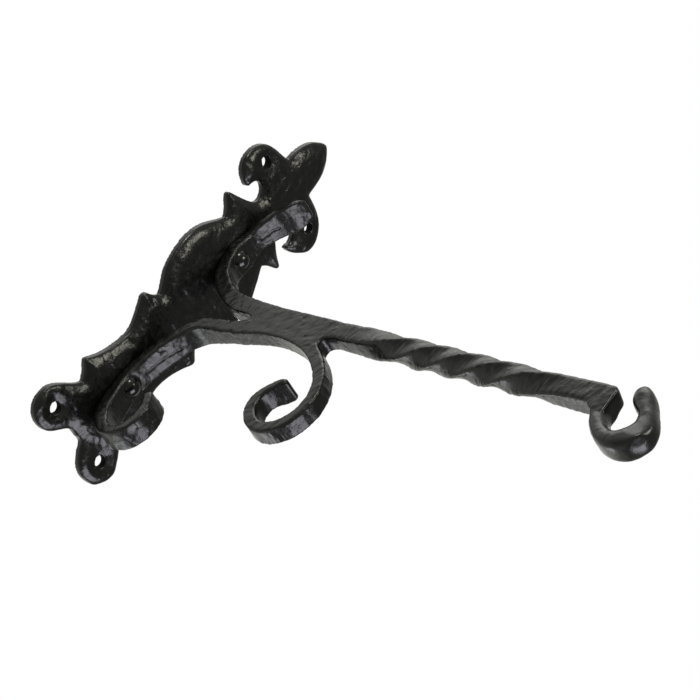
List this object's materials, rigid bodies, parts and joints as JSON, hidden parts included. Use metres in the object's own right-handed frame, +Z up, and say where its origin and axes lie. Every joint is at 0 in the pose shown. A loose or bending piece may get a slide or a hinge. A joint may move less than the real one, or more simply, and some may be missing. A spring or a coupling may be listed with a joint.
{
  "type": "plant basket hook",
  "caption": "Wall bracket for a hanging basket: fleur-de-lis plate, forked arm with leaf and scroll ends, twisted square bar and an upturned hook.",
  "frame": {"origin": "on the wall face of the back plate, in its plane of symmetry, midway between the upper and lower screw hole rows", "axes": "+X out from the wall along the arm, +Z up the wall, +Y across the plate"},
  "size_m": [0.3143, 0.0741, 0.2323],
  "materials": {
    "plate_black": "satin black over a hammered face",
    "arm_black": "satin black over forged iron",
    "rivet_black": "gloss black"
  },
  "bodies": {
    "root": {"back_plate": "plate_black", "bracket_arm": "arm_black", "upper_rivet": "rivet_black", "lower_rivet": "rivet_black"}
  },
  "joints": []
}
